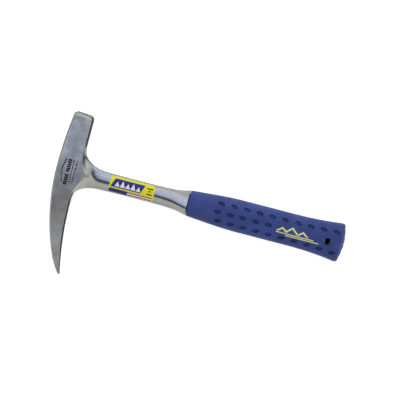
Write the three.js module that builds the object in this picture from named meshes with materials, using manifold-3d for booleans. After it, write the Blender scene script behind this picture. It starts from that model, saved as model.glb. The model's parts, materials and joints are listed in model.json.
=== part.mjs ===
// A one-piece forged rock hammer: square striking poll, long curved pick, polished neck and a
// moulded vinyl grip over a hidden steel tang. It lies on its side, as it does on a bench.
//
// Frame, in millimetres: +X runs along the handle from the head to the butt, +Y points the way the
// poll strikes, +Z is up through the thickness. While it is drawn, x is 0 at the back of the head, y is
// 0 on the handle's axis and z is 0 on the forging's parting plane. The last lines move the whole
// hammer so that its origin is the centre of the underside of its bounding box.
import * as THREE from "three";
import { mergeVertices } from "three/addons/utils/BufferGeometryUtils.js";
import Module from "manifold-3d";

const wasm = await Module();
wasm.setup();

// ---- driving dimensions ----------------------------------------------------------------------

// The head, seen from the side
const pollReach = 66.8; // handle axis to the centre of the striking face
const pickReach = 113; // handle axis to the point of the pick
const crownY = 1; // where the back of the head is furthest from the grip
const pollBackRadius = 435; // arc of the back, above the crown
const pickBackRadius = 244; // arc of the back, below the crown
const noseLength = 17; // the back turns in more tightly over the last of the pick
const noseRadius = 60;
const pollInnerX = 28.4; // the poll's inner wall, at the face
const pollInnerTaper = 0.7; // how much nearer the back that wall is at the root of the neck
const pickInnerX = 25.3; // the pick's inner wall, where it is nearest the back
const pickInnerY = -38; // and the height of that place
const pickInnerRadius = 350; // arc of the pick's inner wall
const faceTilt = 4; // degrees that the striking face leans towards the grip

// The head, through its thickness
const headThickness = 24; // across the flat cheeks
const pollThickness = 22.8; // across the poll, which is ground a little thinner
const tipThickness = 2.6;
const edgeChamfer = 1.6; // chamfer along the cheeks
const faceChamfer = 2.6; // chamfer round the striking face
const draft = 4.5; // degrees of forging draft on the side walls
const taperStartY = -20; // below here the pick gets thinner

// The neck and its root
const neckWidth = 20.7;
const neckThickness = 12.6;
const neckStartX = 54; // the root has run out by here
const rootTopY = 28; // where the root leaves the poll
const rootBottomY = -26; // where the root leaves the pick
const cheekPointX = 36; // the cheek's point on the root of the neck

// The collar, which the grip butts against
const collarX = 151.4; // end of the visible steel
const collarWidth = 28.2;
const collarThickness = 21;
const collarChamfer = 0.8;
const flareLength = 34; // the neck widens into the collar over this length

// The tang inside the grip, and the hole through both
const tangFromButt = 10; // the steel stops this far inside the butt
const tangWidth = 19;
const tangThickness = 8.4;
const tangEndWidth = 16;
const tangEndThickness = 7;
const tangRootLength = 5; // the tang is thicker over this much, where it leaves the collar
const tangRootExtra = 2;
const holeFromButt = 18.5; // hole centre to the end of the grip
const holeY = -1;
const holeDiameter = 7.2;
const tangHoleDiameter = 6.4;

// The grip
const overallLength = 330;
const jointGap = 0.3; // between the collar and the grip, and all round the tang
const gripStartWidth = 28.6;
const gripWidth = 36;
const gripSwellLength = 58; // from the collar to the full width
const buttWidth = 45.6;
const buttDrop = 0.4; // how far the butt's middle sits towards the pick
const buttFlareLength = 62;
const gripStartThickness = 21.4;
const gripThickness = 24; // as thick as the cheeks, so that the hammer lies level
const buttCorner = 3.4; // radius round the butt
const buttCrown = 2.8; // how far the butt's middle stands proud of its rim
const buttRibPitch = 8.2;
const buttGrooves = 5;
const buttGrooveDepth = 0.6;
const buttGrooveRadius = 3.2;

// Its pattern of pockets, the same on both sides
const pocketLength = 7.6;
const pocketWidth = 4.2;
const pocketDepth = 1.3;
const pocketPitch = 14.55;
const pocketsFromCollar = 36.2;
const outerPockets = 10;
const middlePockets = 5;
const middleLead = 2.6; // the middle row starts this much nearer the collar
const outerRowShare = 0.56; // of the grip's half width
const pocketToe = 15; // degrees that the outer rows' pockets turn in towards the butt

// The printed label, wrapped over one side of the neck
const labelStartX = 62;
const labelLength = 50.8;
const labelWrap = 57; // degrees each side of the neck's crown
const labelCorner = 3.2;
const labelFilm = 0.25;
const labelGap = 0.15;

const tangEndX = overallLength - tangFromButt;
const tangTaperX = collarX + tangRootLength;
const holeX = overallLength - holeFromButt;

// ---- colours and finishes --------------------------------------------------------------------

const forgedSteel = new THREE.MeshStandardMaterial({ color: 0x8f929b, roughness: 0.32, metalness: 1 });
const blueVinyl = new THREE.MeshStandardMaterial({ color: 0x424e8f, roughness: 0.6, metalness: 0 });
const yellowFilm = new THREE.MeshStandardMaterial({ color: 0xe6e000, roughness: 0.4, metalness: 0 });

// ---- small helpers ---------------------------------------------------------------------------

const radians = THREE.MathUtils.degToRad;
const lerp = THREE.MathUtils.lerp;
const smooth = THREE.MathUtils.smoothstep;

function mesh(name, geometry, material) {
  const made = new THREE.Mesh(geometry, material);
  made.name = name;
  return made;
}

function geometryOf(points, triangles) {
  const geometry = new THREE.BufferGeometry();
  geometry.setAttribute("position", new THREE.Float32BufferAttribute(points.flat(), 3));
  geometry.setIndex(triangles.flat());
  return geometry;
}

function solidOf(geometry) {
  const bare = geometry.clone();
  bare.deleteAttribute("normal");
  bare.deleteAttribute("uv");
  const merged = mergeVertices(bare, 1e-4);
  return new wasm.Manifold(
    new wasm.Mesh({
      numProp: 3,
      vertProperties: merged.attributes.position.array,
      triVerts: new Uint32Array(merged.index.array),
    }),
  );
}

function geometryFrom(solid) {
  const { vertProperties, triVerts } = solid.getMesh();
  const geometry = new THREE.BufferGeometry();
  geometry.setAttribute("position", new THREE.BufferAttribute(vertProperties, 3));
  geometry.setIndex(new THREE.BufferAttribute(triVerts, 1));
  return geometry;
}

// A closed solid through rings of points that all run the same way round, with flat or pointed ends.
function ringSolid(rings) {
  const count = rings[0].length;
  const points = rings.flat();
  const triangles = [];
  for (let ring = 0; ring + 1 < rings.length; ring++)
    for (let i = 0; i < count; i++) {
      const j = (i + 1) % count;
      const [a, b, c, d] = [ring * count + i, ring * count + j, (ring + 1) * count + j, (ring + 1) * count + i];
      triangles.push([a, b, c], [a, c, d]);
    }
  const last = (rings.length - 1) * count;
  for (const [start, flip] of [[0, true], [last, false]]) {
    const ring = rings[start / count];
    const middle = points.length;
    points.push([0, 1, 2].map((k) => ring.reduce((sum, p) => sum + p[k], 0) / count));
    for (let i = 0; i < count; i++) {
      const [a, b] = [start + i, start + ((i + 1) % count)];
      triangles.push(flip ? [middle, b, a] : [middle, a, b]);
    }
  }
  return geometryOf(points, triangles);
}

// One point of an oval section across the handle. Angle 0 is +Y and 90 degrees is +Z.
function ovalPoint(x, halfWidth, halfThickness, squareness, angle) {
  const [c, s] = [Math.cos(angle), Math.sin(angle)];
  const power = 2 / squareness;
  return [
    x,
    halfWidth * Math.sign(c) * Math.abs(c) ** power,
    halfThickness * Math.sign(s) * Math.abs(s) ** power,
  ];
}

// ---- a control cage, mirrored about the parting plane, and its subdivision ---------------------

class Cage {
  points = [];
  faces = [];
  sharp = new Set();

  // Adds a point and its twin under the parting plane. A point on the plane is its own twin.
  point(x, y, z) {
    const up = this.points.push([x, y, z]) - 1;
    const down = z === 0 ? up : this.points.push([x, y, -z]) - 1;
    return { up, down };
  }

  face(...corners) {
    this.faces.push(corners.map((c) => c.up));
    this.faces.push(corners.map((c) => c.down).reverse());
  }

  crease(line) {
    for (let i = 0; i + 1 < line.length; i++)
      for (const side of ["up", "down"]) this.sharp.add(edgeKey(line[i][side], line[i + 1][side]));
  }
}

function edgeKey(a, b) {
  return a < b ? `${a}_${b}` : `${b}_${a}`;
}

function weighted(terms) {
  return [0, 1, 2].map((k) => terms.reduce((sum, [p, w]) => sum + p[k] * w, 0));
}

// One step of Catmull-Clark subdivision, in which sharp edges stay sharp.
function subdivide({ points, faces, sharp }) {
  const edges = new Map();
  const around = points.map(() => ({ faces: [], edges: [] }));
  const middles = faces.map((face, f) => {
    face.forEach((a, i) => {
      const b = face[(i + 1) % face.length];
      const key = edgeKey(a, b);
      if (!edges.has(key)) {
        edges.set(key, { ends: [a, b], faces: [] });
        around[a].edges.push(key);
        around[b].edges.push(key);
      }
      edges.get(key).faces.push(f);
      around[a].faces.push(f);
    });
    return weighted(face.map((v) => [points[v], 1 / face.length]));
  });

  const moved = points.map((p, v) => {
    const creases = around[v].edges.filter((key) => sharp.has(key));
    if (creases.length > 2) return p;
    if (creases.length === 2) {
      const others = creases.map((key) => edges.get(key).ends.find((end) => end !== v));
      return weighted([[p, 0.75], [points[others[0]], 0.125], [points[others[1]], 0.125]]);
    }
    const n = around[v].faces.length;
    const fromFaces = around[v].faces.map((f) => [middles[f], 1 / (n * n)]);
    const fromEdges = around[v].edges.flatMap((key) =>
      edges.get(key).ends.map((end) => [points[end], 1 / (n * n)]),
    );
    return weighted([...fromFaces, ...fromEdges, [p, (n - 3) / n]]);
  });

  const made = { points: [...moved], faces: [], sharp: new Set() };
  const edgePoint = new Map();
  for (const [key, { ends, faces: beside }] of edges) {
    const halves = ends.map((end) => [points[end], sharp.has(key) ? 0.5 : 0.25]);
    const sides = sharp.has(key) ? [] : beside.map((f) => [middles[f], 0.25]);
    const index = made.points.push(weighted([...halves, ...sides])) - 1;
    edgePoint.set(key, index);
    if (sharp.has(key)) for (const end of ends) made.sharp.add(edgeKey(end, index));
  }
  faces.forEach((face, f) => {
    const middle = made.points.push(middles[f]) - 1;
    face.forEach((v, i) => {
      const next = edgePoint.get(edgeKey(v, face[(i + 1) % face.length]));
      const before = edgePoint.get(edgeKey(face[(i + face.length - 1) % face.length], v));
      made.faces.push([v, next, middle, before]);
    });
  });
  return made;
}

function geometryOfFaces({ points, faces }) {
  return geometryOf(points, faces.flatMap(([a, b, c, d]) => [[a, b, c], [a, c, d]]));
}

// ---- the forging: head, neck, collar and tang in one piece of steel ----------------------------

const draftRun = Math.tan(radians(draft));

// The back of the head at a height y.
function backX(y) {
  const radius = y > crownY ? pollBackRadius : pickBackRadius;
  const nose = Math.max(0, noseLength - pickReach - y);
  return radius - Math.sqrt(radius ** 2 - (y - crownY) ** 2) + nose ** 2 / (2 * noseRadius);
}

// The inner wall of the poll or the pick at a height y, where the neck doesn't cover it.
function innerX(y) {
  if (y > 0) return pollInnerX - (pollInnerTaper * (pollReach - y)) / pollReach;
  const below = Math.min(0, y - pickInnerY);
  return pickInnerX + pickInnerRadius - Math.sqrt(pickInnerRadius ** 2 - below ** 2);
}

function halfThickness(y) {
  if (y > 0) return lerp(headThickness, pollThickness, smooth(y, rootTopY, rootTopY + 14)) / 2;
  const share = Math.max(0, (taperStartY - y) / (pickReach + taperStartY));
  return lerp(headThickness, tipThickness, share ** 1.12) / 2;
}

// The seven points of one half section of the head, from the back's parting line over the cheek to the
// inner parting line. The last sections turn with the striking face.
function headSection(cage, y, { inset = 0, tilt = 0, cheekX = null } = {}) {
  const half = halfThickness(y) - inset;
  const [back, inner] = [backX(y) + inset, innerX(y) - inset];
  const chamfer = Math.min(edgeChamfer, half * 0.3, (inner - back) * 0.2);
  const wallRun = (half - chamfer) * draftRun;
  const edge = wallRun + chamfer;
  const cheekInner = cheekX ?? inner - edge;
  const middle = (back + inner) / 2;
  const at = (x, z) => cage.point(x, y - (x - middle) * Math.tan(radians(tilt)), z);
  return [
    at(back, 0),
    at(back + wallRun, half - chamfer),
    at(back + edge, half),
    at((back + edge + cheekInner) / 2, half),
    at(cheekInner, half),
    at(inner - wallRun, half - chamfer),
    at(inner, 0),
  ];
}

// Closes a section with a flat fan about its middle.
function closeSection(cage, section, facesUp) {
  const cornerAt = (p, k) => cage.points[p.up][k];
  const [first, last] = [section[0], section[6]];
  const centre = cage.point((cornerAt(first, 0) + cornerAt(last, 0)) / 2, (cornerAt(first, 1) + cornerAt(last, 1)) / 2, 0);
  for (const i of [0, 2, 4]) {
    const fan = [centre, section[i], section[i + 1], section[i + 2]];
    cage.face(...(facesUp ? fan : fan.reverse()));
  }
}

// Heights of the sections over the root of the neck, and how far the cheek reaches at each.
const rootShares = [0, 0.17, 0.34, 0.5, 0.65, 0.8, 1];
const rootHeights = rootShares.map((share) => lerp(rootTopY, rootBottomY, share));
const cheekReach = [0, 0.06, 0.32, 1, 0.46, 0.16, 0];

function buildHead(cage) {
  const edge = edgeChamfer + (headThickness / 2 - edgeChamfer) * draftRun;
  const rootCheek = (share, i) => {
    const wall = lerp(innerX(rootTopY), innerX(rootBottomY), share) - edge;
    return lerp(wall, cheekPointX, cheekReach[i]);
  };
  const sections = [
    headSection(cage, pollReach, { inset: faceChamfer, tilt: faceTilt }),
    headSection(cage, pollReach - faceChamfer, { tilt: faceTilt }),
    headSection(cage, pollReach - 14, { tilt: faceTilt * 0.7 }),
    headSection(cage, pollReach - 27, { tilt: faceTilt * 0.35 }),
    ...rootHeights.map((y, i) => headSection(cage, y, { cheekX: rootCheek(rootShares[i], i) })),
  ];
  const rootFirst = 4;
  const rootLast = sections.length - 1;
  for (const share of [0.14, 0.3, 0.46, 0.62, 0.76, 0.87, 0.95, 1])
    sections.push(headSection(cage, lerp(rootBottomY, -pickReach, share)));

  for (let row = 0; row + 1 < sections.length; row++)
    for (let column = 0; column < 6; column++) {
      const underNeck = row >= rootFirst && row < rootLast && column >= 4;
      if (underNeck) continue;
      const [here, next] = [sections[row], sections[row + 1]];
      cage.face(here[column], next[column], next[column + 1], here[column + 1]);
    }
  closeSection(cage, sections[0], true);
  closeSection(cage, sections.at(-1), false);

  for (const section of [sections[0], sections[1], sections.at(-1)]) cage.crease(section);
  for (const column of [1, 2, 4]) cage.crease(sections.map((section) => section[column]));
  cage.crease(sections.slice(0, rootFirst + 1).map((section) => section[5]));
  cage.crease(sections.slice(rootLast).map((section) => section[5]));

  // The loop that the neck grows from, from the poll's wall over the cheek to the pick's wall.
  const [top, bottom] = [sections[rootFirst], sections[rootLast]];
  return [
    top[6],
    top[5],
    ...sections.slice(rootFirst, rootLast + 1).map((section) => section[4]),
    bottom[5],
    bottom[6],
  ];
}

// A ring of control points round the handle, made a little larger because subdivision draws it in.
function handleRing(cage, count, x, width, thickness, squareness = 2) {
  const grow = 3 / (2 + Math.cos(Math.PI / count));
  return Array.from({ length: count + 1 }, (_, i) => {
    const angle = (Math.PI * i) / count;
    const [, y, z] = ovalPoint(x, (width / 2) * grow, (thickness / 2) * grow, squareness, angle);
    return cage.point(x, y, i === 0 || i === count ? 0 : z);
  });
}

// The root of the neck: rings that leave the head's loop along the walls and meet the neck end on.
function rootRings(cage, loop, neckRing) {
  const last = loop.length - 1;
  const leave = loop.map((_, i) => {
    if (i < 2) return [2 * i, -40 + 7 * i, -13 * i];
    if (i > last - 2) return [2 * (last - i), 45 - 9 * (last - i), -13 * (last - i)];
    const across = (i - 2) / (last - 4); // 0 on the poll's side, 1 on the pick's side
    return [lerp(6, 17, Math.sin(Math.PI * across)), lerp(-27, 29, across), -17];
  });
  const arrive = (i) => [lerp(30, 50, i / last), 0, 0];
  return [0.22, 0.46, 0.73].map((u) =>
    loop.map((from, i) => {
      const [h00, h10] = [(1 + 2 * u) * (1 - u) ** 2, u * (1 - u) ** 2];
      const [h01, h11] = [u * u * (3 - 2 * u), u * u * (u - 1)];
      const at = weighted([
        [cage.points[from.up], h00],
        [leave[i], h10],
        [cage.points[neckRing[i].up], h01],
        [arrive(i), h11],
      ]);
      return cage.point(at[0], at[1], i === 0 || i === last ? 0 : at[2]);
    }),
  );
}

function buildForging() {
  const cage = new Cage();
  const loop = buildHead(cage);
  const count = loop.length - 1;
  const ring = (...size) => handleRing(cage, count, ...size);
  const flare = (share, x) => ring(x, lerp(neckWidth, collarWidth, share), lerp(neckThickness, collarThickness, share));

  const neckStart = ring(neckStartX, neckWidth + 0.4, neckThickness + 0.4);
  const rings = [
    loop,
    ...rootRings(cage, loop, neckStart),
    neckStart,
    ring(lerp(neckStartX, collarX, 0.25), neckWidth, neckThickness),
    ring(collarX - flareLength - 14, neckWidth, neckThickness),
    flare(0.03, collarX - flareLength),
    flare(0.11, collarX - flareLength * 0.64),
    flare(0.27, collarX - flareLength * 0.38),
    flare(0.66, collarX - flareLength * 0.15),
  ];
  const collarEdge = flare(1, collarX - collarChamfer);
  const collarBack = ring(collarX, collarWidth - 2 * collarChamfer, collarThickness - 2 * collarChamfer);
  const tangRoot = ring(collarX, tangWidth + tangRootExtra, tangThickness + tangRootExtra);
  const tang = (share) =>
    ring(
      lerp(tangTaperX, tangEndX, share),
      lerp(tangWidth, tangEndWidth, share),
      lerp(tangThickness, tangEndThickness, share),
      2.6,
    );
  const tangEnd = tang(1);
  rings.push(collarEdge, collarBack, tangRoot, tang(0), tang(0.3), tang(0.65), tang(0.93), tangEnd);

  for (let r = 0; r + 1 < rings.length; r++)
    for (let i = 0; i < count; i++)
      cage.face(rings[r][i], rings[r][i + 1], rings[r + 1][i + 1], rings[r + 1][i]);
  const endCentre = cage.point(tangEndX, 0, 0);
  for (let i = 0; i < count; i += 2)
    cage.face(endCentre, tangEnd[i], tangEnd[i + 1], tangEnd[i + 2]);
  for (const sharpRing of [collarEdge, collarBack, tangRoot, tangEnd]) cage.crease(sharpRing);

  const drill = new THREE.CylinderGeometry(tangHoleDiameter / 2, tangHoleDiameter / 2, tangThickness * 3, 24);
  drill.rotateX(Math.PI / 2).translate(holeX, holeY, 0);
  return geometryFrom(solidOf(geometryOfFaces(subdivide(cage))).subtract(solidOf(drill)));
}

// ---- the grip ----------------------------------------------------------------------------------

const gripStartX = collarX + jointGap;
const gripSegments = 32;

function gripHalfWidth(x) {
  const swell = smooth(x, gripStartX - gripSwellLength * 0.4, gripStartX + gripSwellLength);
  const startSwell = smooth(gripStartX, gripStartX - gripSwellLength * 0.4, gripStartX + gripSwellLength);
  const body = lerp(gripStartWidth, gripWidth, (swell - startSwell) / (1 - startSwell));
  const along = THREE.MathUtils.clamp((x - (overallLength - buttFlareLength)) / buttFlareLength, 0, 1);
  return (body + (buttWidth - gripWidth) * along ** 2.2) / 2;
}

function gripHalfThickness(x) {
  return lerp(gripStartThickness, gripThickness, smooth(x, gripStartX - 12, gripStartX + gripSwellLength)) / 2;
}

function gripMiddleY(x) {
  return -buttDrop * THREE.MathUtils.clamp(1 - (overallLength - x) / buttFlareLength, 0, 1) ** 2;
}

function gripSquareness(x) {
  return lerp(2.1, 2.5, smooth(x, gripStartX, gripStartX + gripSwellLength));
}

function gripRing(x, inset) {
  const [width, thickness] = [gripHalfWidth(x) - inset, gripHalfThickness(x) - inset];
  return Array.from({ length: gripSegments }, (_, i) => {
    const [, y, z] = ovalPoint(x, width, thickness, gripSquareness(x), (2 * Math.PI * i) / gripSegments);
    return [x, y + gripMiddleY(x), z];
  });
}

// The height of the grip's surface over a place (x, y).
function gripSurfaceZ(x, y) {
  const squareness = gripSquareness(x);
  const across = Math.abs((y - gripMiddleY(x)) / gripHalfWidth(x));
  return gripHalfThickness(x) * (1 - across ** squareness) ** (1 / squareness);
}

function gripBody() {
  const rim = overallLength - buttCrown - buttCorner; // where the butt's corner starts to turn
  const rings = [gripRing(gripStartX, 0.4), gripRing(gripStartX + 0.5, 0)];
  const stations = 15;
  for (let i = 1; i <= stations; i++) rings.push(gripRing(lerp(gripStartX, rim, i / stations), 0));
  for (const turn of [30, 60, 85]) {
    const [c, s] = [Math.cos(radians(turn)), Math.sin(radians(turn))];
    rings.push(gripRing(rim, buttCorner * (1 - c)).map(([, y, z]) => [rim + buttCorner * s, y, z]));
  }
  const rimRing = rings.at(-1);
  for (const share of [0.75, 0.5, 0.25])
    rings.push(rimRing.map(([, y, z]) => [overallLength - buttCrown * share ** 2, y * share, z * share]));
  return solidOf(ringSolid(rings));
}

// The room for the tang, a joint gap larger all round.
function tangRoom() {
  const around = (x, width, thickness) =>
    Array.from({ length: gripSegments }, (_, i) =>
      ovalPoint(x, width / 2 + jointGap, thickness / 2 + jointGap, 2.6, (2 * Math.PI * i) / gripSegments),
    );
  const root = [tangWidth + tangRootExtra, tangThickness + tangRootExtra];
  return solidOf(
    ringSolid([
      around(collarX - 1, ...root),
      around(tangTaperX, ...root),
      around(tangTaperX + tangRootLength, tangWidth, tangThickness),
      around(tangEndX + jointGap, tangEndWidth, tangEndThickness),
    ]),
  );
}

// One pocket's cutter, an oval post that stands square to the grip's surface. side is 1 or -1 in z.
function pocketCutter(x, y, side, toe) {
  const step = 0.5;
  const slope = (gripSurfaceZ(x, y + step) - gripSurfaceZ(x, y - step)) / (2 * step);
  const post = new THREE.CylinderGeometry(0.5, 0.5, 1, 14);
  post.rotateX(Math.PI / 2);
  post.scale(pocketLength, pocketWidth, 2 * pocketDepth);
  post.rotateZ(toe);
  post.rotateX(Math.atan(slope));
  post.translate(x, y, gripSurfaceZ(x, y));
  if (side < 0) post.rotateX(Math.PI).translate(0, 2 * y, 0);
  return solidOf(post);
}

function pocketCutters() {
  const cutters = [];
  const firstX = gripStartX + pocketsFromCollar;
  for (const side of [1, -1]) {
    for (let i = 0; i < outerPockets; i++)
      for (const row of [1, -1]) {
        const x = firstX + i * pocketPitch;
        const y = gripMiddleY(x) + row * outerRowShare * gripHalfWidth(x);
        cutters.push(pocketCutter(x, y, side, -row * side * radians(pocketToe)));
      }
    for (let i = 0; i < middlePockets; i++)
      cutters.push(pocketCutter(firstX - middleLead + i * pocketPitch, 0, side, 0));
  }
  return cutters;
}

function buildGrip() {
  let grip = gripBody().subtract(tangRoom());
  for (const cutter of pocketCutters()) grip = grip.subtract(cutter);
  for (let i = 0; i < buttGrooves; i++) {
    const y = (i - (buttGrooves - 1) / 2) * buttRibPitch;
    const faceX = overallLength - buttCrown * (y / (buttWidth / 2 - buttCorner)) ** 2;
    const groove = new THREE.CylinderGeometry(buttGrooveRadius, buttGrooveRadius, gripThickness * 2, 20);
    groove.rotateX(Math.PI / 2).translate(faceX + buttGrooveRadius - buttGrooveDepth, y, 0);
    grip = grip.subtract(solidOf(groove));
  }
  const drill = new THREE.CylinderGeometry(holeDiameter / 2, holeDiameter / 2, gripThickness * 2, 24);
  drill.rotateX(Math.PI / 2).translate(holeX, holeY, 0);
  return geometryFrom(grip.subtract(solidOf(drill)));
}

// ---- the label ---------------------------------------------------------------------------------

// A film with round corners that lies on the steel of the neck. Its rows run along the neck.
function buildLabel(forging) {
  const steel = new THREE.Mesh(forging, new THREE.MeshBasicMaterial({ side: THREE.DoubleSide }));
  const probe = new THREE.Raycaster();
  const [rows, columns] = [14, 10];
  const corner = labelCorner / (neckWidth / 2); // as an angle round the neck
  const wrap = radians(labelWrap);
  const at = (u, v, lift) => {
    const angle = lerp(-wrap, wrap, v);
    const fromEnd = Math.max(0, corner - (wrap - Math.abs(angle))) / corner;
    const pull = labelCorner * (1 - Math.sqrt(Math.max(0, 1 - fromEnd ** 2)));
    const x = lerp(labelStartX + pull, labelStartX + labelLength - pull, u);
    const [, y, z] = ovalPoint(x, neckWidth / 2, neckThickness / 2, 2, Math.PI / 2 - angle);
    const outward = new THREE.Vector3(0, y, z).normalize();
    probe.set(outward.clone().multiplyScalar(100).setX(x), outward.clone().negate());
    return probe.intersectObject(steel)[0].point.addScaledVector(outward, lift).toArray();
  };
  const grid = (lift) =>
    Array.from({ length: (columns + 1) * (rows + 1) }, (_, i) =>
      at(Math.floor(i / (rows + 1)) / columns, (i % (rows + 1)) / rows, lift),
    );
  const points = [...grid(labelGap + labelFilm), ...grid(labelGap)];
  const under = points.length / 2;
  const index = (column, row) => column * (rows + 1) + row;
  const triangles = [];
  const quad = (a, b, c, d) => triangles.push([a, b, c], [a, c, d]);
  for (let column = 0; column < columns; column++)
    for (let row = 0; row < rows; row++) {
      const corners = [[0, 0], [1, 0], [1, 1], [0, 1]].map(([c, r]) => index(column + c, row + r));
      quad(...corners);
      quad(...corners.reverse().map((corner) => corner + under));
    }
  const rim = [];
  for (let column = 0; column < columns; column++) rim.push(index(column, 0));
  for (let row = 0; row < rows; row++) rim.push(index(columns, row));
  for (let column = columns; column > 0; column--) rim.push(index(column, rows));
  for (let row = rows; row > 0; row--) rim.push(index(0, row));
  rim.forEach((here, i) => {
    const next = rim[(i + 1) % rim.length];
    quad(here, here + under, next + under, next);
  });
  return geometryOf(points, triangles);
}

// ---- the assembly ------------------------------------------------------------------------------

const forging = buildForging();
const hammer = new THREE.Group();
hammer.add(mesh("forged_steel_body", forging, forgedSteel));
hammer.add(mesh("vinyl_grip", buildGrip(), blueVinyl));
hammer.add(mesh("neck_label", buildLabel(forging), yellowFilm));

const box = new THREE.Box3().setFromObject(hammer);
const middle = box.getCenter(new THREE.Vector3());
hammer.position.set(-middle.x, -middle.y, -box.min.z);

export default hammer;
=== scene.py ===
import json
import math

import bmesh
import bpy
from mathutils import Matrix, Vector

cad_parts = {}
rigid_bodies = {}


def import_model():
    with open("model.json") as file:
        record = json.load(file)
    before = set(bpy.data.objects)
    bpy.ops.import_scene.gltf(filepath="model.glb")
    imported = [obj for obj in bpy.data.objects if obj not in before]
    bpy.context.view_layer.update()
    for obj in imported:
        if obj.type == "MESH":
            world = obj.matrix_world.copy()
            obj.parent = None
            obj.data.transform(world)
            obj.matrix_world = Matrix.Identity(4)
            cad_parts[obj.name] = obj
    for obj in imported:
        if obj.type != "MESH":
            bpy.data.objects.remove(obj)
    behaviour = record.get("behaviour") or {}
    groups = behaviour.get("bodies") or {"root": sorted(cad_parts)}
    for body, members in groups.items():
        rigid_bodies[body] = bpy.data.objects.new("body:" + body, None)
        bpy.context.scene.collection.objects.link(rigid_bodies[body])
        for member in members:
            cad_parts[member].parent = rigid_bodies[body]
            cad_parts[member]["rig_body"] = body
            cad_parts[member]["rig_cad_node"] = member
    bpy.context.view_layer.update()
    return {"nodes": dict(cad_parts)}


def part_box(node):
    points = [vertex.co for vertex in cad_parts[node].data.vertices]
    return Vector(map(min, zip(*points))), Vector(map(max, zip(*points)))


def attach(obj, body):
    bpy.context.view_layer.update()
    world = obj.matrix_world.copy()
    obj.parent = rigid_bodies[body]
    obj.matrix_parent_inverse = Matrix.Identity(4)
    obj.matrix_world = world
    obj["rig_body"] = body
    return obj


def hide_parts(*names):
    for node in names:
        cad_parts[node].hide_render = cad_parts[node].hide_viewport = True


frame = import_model()

# ---- where things are, from the CAD --------------------------------------------------------------

MM = 0.001
steel_low, steel_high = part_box("forged_steel_body")
grip_low, grip_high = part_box("vinyl_grip")
label_low, label_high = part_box("neck_label")
HANDLE_Y = (label_low.y + label_high.y) / 2
PARTING_Z = (steel_low.z + steel_high.z) / 2
HEAD_BACK_X = steel_low.x
GRIP_START = (grip_low.x - HEAD_BACK_X) / MM
GRIP_END = (grip_high.x - HEAD_BACK_X) / MM


CLEAR = 40.0  # this many millimetres above or below the parting plane is clear of the hammer


def at(x, y=0.0, z=0.0):
    """A place in metres, from millimetres along the handle, towards the poll and up.

    They are counted from the head's back, the handle's axis and the forging's parting plane.
    """
    return Vector((HEAD_BACK_X + x * MM, HANDLE_Y + y * MM, PARTING_Z + z * MM))


# ---- working by hand: selecting, shaping and applying --------------------------------------------


def only(piece):
    """Selects this piece alone and makes it the active one."""
    if bpy.context.mode != "OBJECT":
        bpy.ops.object.mode_set(mode="OBJECT")
    bpy.ops.object.select_all(action="DESELECT")
    piece.select_set(True)
    bpy.context.view_layer.objects.active = piece


def leave(name):
    """Leaves edit mode, settles the piece's place into its mesh and names it."""
    bpy.ops.object.mode_set(mode="OBJECT")
    bpy.ops.object.transform_apply(location=True, rotation=True, scale=True)
    piece = bpy.context.object
    piece.name = piece.data.name = name
    return piece


def edit(kind="VERT"):
    bpy.ops.object.mode_set(mode="EDIT")
    bpy.ops.mesh.select_mode(type=kind)


def add(primitive, **settings):
    """Adds a primitive with nothing else selected and goes into edit mode on it."""
    if bpy.context.mode != "OBJECT":
        bpy.ops.object.mode_set(mode="OBJECT")
    bpy.ops.object.select_all(action="DESELECT")
    getattr(bpy.ops.mesh, f"primitive_{primitive}_add")(**settings)
    edit()


def pick(test, kind="VERT"):
    """Selects the vertices, edges or faces that pass a test."""
    bpy.ops.mesh.select_mode(type=kind)
    bpy.ops.mesh.select_all(action="DESELECT")
    mesh = bmesh.from_edit_mesh(bpy.context.object.data)
    parts = {"VERT": mesh.verts, "EDGE": mesh.edges, "FACE": mesh.faces}[kind]
    for part in parts:
        if test(part):
            part.select_set(True)
    mesh.select_flush_mode()
    bmesh.update_edit_mesh(bpy.context.object.data)


def extrude(move, size, centre):
    """Extrudes what is selected by a move, then scales it about a centre."""
    bpy.ops.mesh.extrude_region_move(TRANSFORM_OT_translate={"value": move})
    bpy.ops.transform.resize(value=size, center_override=centre)


def finish_with(piece, kind, **settings):
    """Adds a modifier to a piece and applies it."""
    only(piece)
    bpy.ops.object.modifier_add(type=kind)
    modifier = piece.modifiers[-1]
    for name, value in settings.items():
        setattr(modifier, name, value)
    bpy.ops.object.modifier_apply(modifier=modifier.name)


def join(pieces, name):
    only(pieces[0])
    for piece in pieces:
        piece.select_set(True)
    bpy.ops.object.join()
    return leave(name)


def cut(piece, cutter):
    """Cuts a closed shape out of a piece. The walls of the cut take the cutter's material."""
    finish_with(
        piece,
        "BOOLEAN",
        operation="DIFFERENCE",
        solver="EXACT",
        object=cutter,
        material_mode="TRANSFER",
    )
    bpy.data.objects.remove(cutter)


def outward():
    bpy.ops.mesh.select_all(action="SELECT")
    bpy.ops.mesh.normals_make_consistent(inside=False)


# ---- materials -----------------------------------------------------------------------------------


def linear(colour):
    """A hex sRGB colour as linear RGBA, opaque."""
    channels = [((colour >> shift) & 255) / 255 for shift in (16, 8, 0)]
    return [c / 12.92 if c <= 0.04045 else ((c + 0.055) / 1.055) ** 2.4 for c in channels] + [1.0]


def add_node(tree, kind, inputs=None, **settings):
    """Adds a node with its settings. An input, by name or number, takes a value or an output to link."""
    node = tree.nodes.new(kind)
    for name, value in settings.items():
        setattr(node, name, value)
    for key, value in (inputs or {}).items():
        if isinstance(value, bpy.types.NodeSocket):
            tree.links.new(value, node.inputs[key])
        else:
            node.inputs[key].default_value = value
    return node


def new_material(name):
    material = bpy.data.materials.new(name)
    material.use_nodes = True
    tree = material.node_tree
    tree.nodes.clear()
    place = add_node(tree, "ShaderNodeTexCoord").outputs["Object"]
    return material, tree, place


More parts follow.
